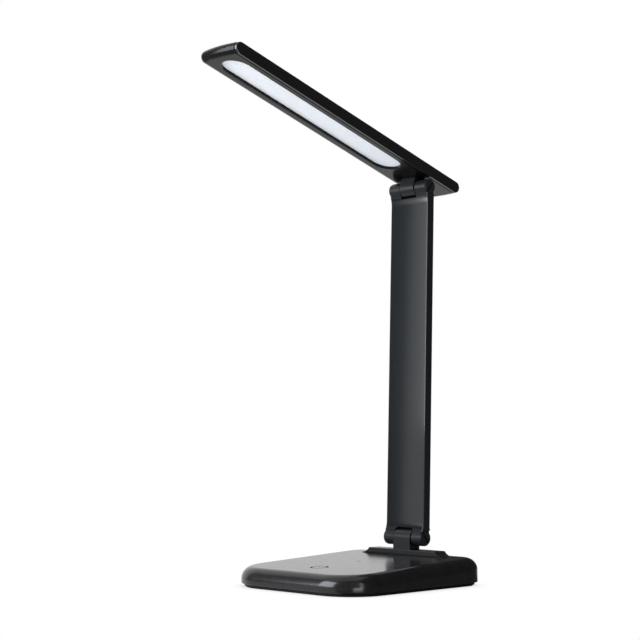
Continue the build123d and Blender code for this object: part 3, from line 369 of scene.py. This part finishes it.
# Touch plate: copper foil on the sensing side of the touch board, glued under the top.
# Rolled copper, dulled by the lacquer over it.
roll_mm = 0.5
roll_lines = (1.0, 0.05, 1.0)
copper, tree = new_material("lacquered_copper_foil")
place = add(tree, "TexCoord").outputs["Object"]
along = add(tree, "Mapping", {"Vector": place, "Scale": roll_lines})
rolled = add(tree, "TexNoise", {"Vector": along.outputs[0], "Scale": per_metre(roll_mm), "Detail": 3.0})
tint = add(tree, "MixRGB", {0: rolled.outputs["Fac"], 1: linear("#b8714c"), 2: linear("#cf8a62")})
skin = add(tree, "BsdfPrincipled", {"Base Color": tint.outputs[0], "Metallic": 1.0, "Roughness": 0.35})
dress(["touch_plate"], copper, skin)


# Indicator window: smoked acrylic light guide, pressed in behind the touch mark.
# Unlit it is nearly black, a shade browner than the housing, and etched against glare.
flow_mm = 14
smoked, tree = new_material("smoked_acrylic")
place = add(tree, "TexCoord").outputs["Object"]
flow = add(tree, "TexNoise", {"Vector": place, "Scale": per_metre(flow_mm), "Detail": 1.0})
tint = add(tree, "MixRGB", {0: flow.outputs["Fac"], 1: linear("#120f0e"), 2: linear("#181513")})
skin = add(tree, "BsdfPrincipled", {
    "Base Color": tint.outputs[0], "Roughness": 0.35, "IOR": 1.49, "Specular IOR Level": 0.0})
dress(["indicator_window"], smoked, skin)


# Hinge bracket and knuckles: zinc die castings under satin black powder coat, with pressed caps.
# The coat is smooth to the touch, with a faint orange peel that softens each highlight. Its colour
# and sheen are darkened in the caps' slots and in the seams as painted shade.
peel_mm = 1.2
seam_reach = 0.002
seam_samples = 8
seam_shut = 0.45
seam_open = 0.9
coat, tree = new_material("satin_black_powder_coat")
place = add(tree, "TexCoord").outputs["Object"]
peel = add(tree, "TexNoise", {"Vector": place, "Scale": per_metre(peel_mm), "Detail": 2.0})
bump = add(tree, "Bump", {"Height": peel.outputs["Fac"], "Strength": 0.12, "Distance": 0.00004})
rough = add(tree, "MapRange", {"Value": peel.outputs["Fac"], "To Min": 0.22, "To Max": 0.3})
# Painted shade: colour and sheen darken where other surfaces are near.
seam = add(tree, "AmbientOcclusion", {"Distance": seam_reach}, samples=seam_samples)
sheen_with_painted_shade = add(tree, "MapRange", {
    "Value": seam.outputs["AO"], "From Min": seam_shut, "From Max": seam_open, "To Max": 0.21})
painted_seam_shade = add(tree, "MapRange", {
    "Value": seam.outputs["AO"], "From Min": seam_shut, "From Max": seam_open})
colour = add(tree, "MixRGB", {0: painted_seam_shade.outputs[0], 1: linear("#060606"), 2: linear("#1d1e1f")})
skin = add(tree, "BsdfPrincipled", {
    "Base Color": colour.outputs[0], "Roughness": rough.outputs[0], "IOR": 1.5,
    "Specular IOR Level": sheen_with_painted_shade.outputs[0], "Normal": bump.outputs[0]})
dress(["hinge_bracket", "lower_arm_knuckle", "upper_arm_knuckle", "head_knuckle",
       "lower_caps", "upper_caps"], coat, skin)


# Arm: two ABS trays closed on the knuckles' tongues, sprayed with black lacquer.
# The lacquer is smoother, shinier and a little bluer than the castings' coat.
spray_mm = 0.6
lacquer, tree = new_material("sprayed_black_lacquer")
place = add(tree, "TexCoord").outputs["Object"]
mist = add(tree, "TexNoise", {"Vector": place, "Scale": per_metre(spray_mm), "Detail": 3.0})
bump = add(tree, "Bump", {"Height": mist.outputs["Fac"], "Strength": 0.1, "Distance": 0.00002})
rough = add(tree, "MapRange", {"Value": mist.outputs["Fac"], "To Min": 0.06, "To Max": 0.08})
skin = add(tree, "BsdfPrincipled", {
    "Base Color": linear("#14181a"), "Roughness": rough.outputs[0], "IOR": 1.5,
    "Specular IOR Level": 0.55, "Normal": bump.outputs[0]})
dress(["arm_front_shell", "arm_rear_cover"], lacquer, skin)


# Friction washers: moulded nylon, one at each face of the middle knuckles.
# Natural nylon is milky and a little translucent.
cloud_mm = 6
nylon, tree = new_material("natural_nylon")
place = add(tree, "TexCoord").outputs["Object"]
cloud = add(tree, "TexNoise", {"Vector": place, "Scale": per_metre(cloud_mm), "Detail": 3.0})
tint = add(tree, "MixRGB", {0: cloud.outputs["Fac"], 1: linear("#dcdad0"), 2: linear("#ebe9e1")})
skin = add(tree, "BsdfPrincipled", {
    "Base Color": tint.outputs[0], "Roughness": 0.45, "IOR": 1.53, "Subsurface Weight": 0.1,
    "Subsurface Scale": 0.001})
dress(["lower_washers", "upper_washers"], nylon, skin)


# Cable bushes: hollow brass pins, turned on a lathe and slotted to let the cable out.
# The tool leaves fine rings round the warm yellow metal.
ring_mm = 0.2
lathe_rings = (1.0, 0.02, 0.02)
brass, tree = new_material("turned_brass")
place = add(tree, "TexCoord").outputs["Object"]
across = add(tree, "Mapping", {"Vector": place, "Scale": lathe_rings})
rings = add(tree, "TexNoise", {"Vector": across.outputs[0], "Scale": per_metre(ring_mm), "Detail": 1.0})
bump = add(tree, "Bump", {"Height": rings.outputs["Fac"], "Strength": 0.3, "Distance": 0.00002})
skin = add(tree, "BsdfPrincipled", {
    "Base Color": linear("#c9a45c"), "Metallic": 1.0, "Roughness": 0.28, "Normal": bump.outputs[0]})
dress(["lower_bush", "upper_bush"], brass, skin)


# Head shell: a long ABS moulding, open below, with a polished skin like the base's.
# Its top and sides carry slow waves from the mould's cooling, seen only in reflections.
cooling_mm = 30
head_abs, tree = new_material("glossy_black_head_abs")
place = add(tree, "TexCoord").outputs["Object"]
wave = add(tree, "TexNoise", {"Vector": place, "Scale": per_metre(cooling_mm), "Detail": 1.0})
bump = add(tree, "Bump", {"Height": wave.outputs["Fac"], "Strength": 0.05, "Distance": 0.0004})
dust = add(tree, "TexNoise", {"Vector": place, "Scale": per_metre(dust_mm), "Detail": 6.0})
rough = add(tree, "MapRange", {"Value": dust.outputs["Fac"], "To Min": 0.12, "To Max": 0.2})
skin = add(tree, "BsdfPrincipled", {
    "Base Color": linear("#141415"), "Roughness": rough.outputs[0], "IOR": 1.54,
    "Normal": bump.outputs[0]})
dress(["head_shell"], head_abs, skin)


# Head panel: the lower ABS moulding with its nose cap, snapped into the shell.
# It faces the desk and reads as deep black with a soft sheen, and has fine scuffs from wiping.
scuff_mm = 1.5
scuff_lines = (1.0, 0.1, 1.0)
panel_abs, tree = new_material("semi_gloss_black_abs")
place = add(tree, "TexCoord").outputs["Object"]
along = add(tree, "Mapping", {"Vector": place, "Scale": scuff_lines})
scuffs = add(tree, "TexNoise", {
    "Vector": along.outputs[0], "Scale": per_metre(scuff_mm), "Detail": 4.0})
rough = add(tree, "MapRange", {"Value": scuffs.outputs["Fac"], "To Min": 0.14, "To Max": 0.24})
bump = add(tree, "Bump", {"Height": scuffs.outputs["Fac"], "Strength": 0.04, "Distance": 0.00003})
skin = add(tree, "BsdfPrincipled", {
    "Base Color": linear("#0a0a0b"), "Roughness": rough.outputs[0], "IOR": 1.52,
    "Specular IOR Level": 0.16, "Normal": bump.outputs[0]})
dress(["head_panel"], panel_abs, skin)


# Light window: opal acrylic sheet, cut as a long slot and laid on the panel's ledge.
# Unlit it is an even, milky bluish white with a soft sheen; a faint painted glow over the whole sheet
# stands in for the light that soaks into it and out again.
opal_mm = 10
opal, tree = new_material("opal_acrylic")
place = add(tree, "TexCoord").outputs["Object"]
milk = add(tree, "TexNoise", {"Vector": place, "Scale": per_metre(opal_mm), "Detail": 2.0})
tint = add(tree, "MixRGB", {0: milk.outputs["Fac"], 1: linear("#c8cbcd"), 2: linear("#cdd0d2")})
# The emission is painted light: the window glows though the lamp is off.
skin = add(tree, "BsdfPrincipled", {
    "Base Color": tint.outputs[0], "Roughness": 0.45, "IOR": 1.49, "Specular IOR Level": 0.03,
    "Subsurface Weight": 0.2, "Subsurface Scale": 0.001, "Emission Color": linear("#f4f8ff"),
    "Emission Strength": 0.12})
dress(["diffuser"], opal, skin)


# Light box: a white polycarbonate frame over the window, under an aluminium board with two rows
# of small lamps. The board's mask is white, and each chip has a yellow phosphor face.
haze_mm = 10
reflector_white, tree = new_material("white_polycarbonate")
place = add(tree, "TexCoord").outputs["Object"]
haze = add(tree, "TexNoise", {"Vector": place, "Scale": per_metre(haze_mm), "Detail": 2.0})
tint = add(tree, "MixRGB", {0: haze.outputs["Fac"], 1: linear("#ecebe8"), 2: linear("#f4f4f2")})
skin = add(tree, "BsdfPrincipled", {"Base Color": tint.outputs[0], "Roughness": 0.5, "IOR": 1.58})
dress(["reflector"], reflector_white, skin)

white_mask, tree = new_material("white_solder_mask_on_aluminium")
place = add(tree, "TexCoord").outputs["Object"]
tracks = add(tree, "TexBrick", {
    "Vector": place, "Scale": per_metre(track_mm), "Color1": linear("#e9e9e6"),
    "Color2": linear("#e4e4e1"), "Mortar": linear("#f4f4f2")})
skin = add(tree, "BsdfPrincipled", {
    "Base Color": tracks.outputs["Color"], "Roughness": 0.35, "IOR": 1.55})
dress(["led_board"], white_mask, skin)

grain_mm = 0.3
phosphor, tree = new_material("phosphor_in_silicone")
place = add(tree, "TexCoord").outputs["Object"]
grains = add(tree, "TexNoise", {"Vector": place, "Scale": per_metre(grain_mm), "Detail": 2.0})
tint = add(tree, "MixRGB", {0: grains.outputs["Fac"], 1: linear("#f0dc8a"), 2: linear("#f6e8ae")})
skin = add(tree, "BsdfPrincipled", {"Base Color": tint.outputs[0], "Roughness": 0.4})
dress(["led_chips"], phosphor, skin)
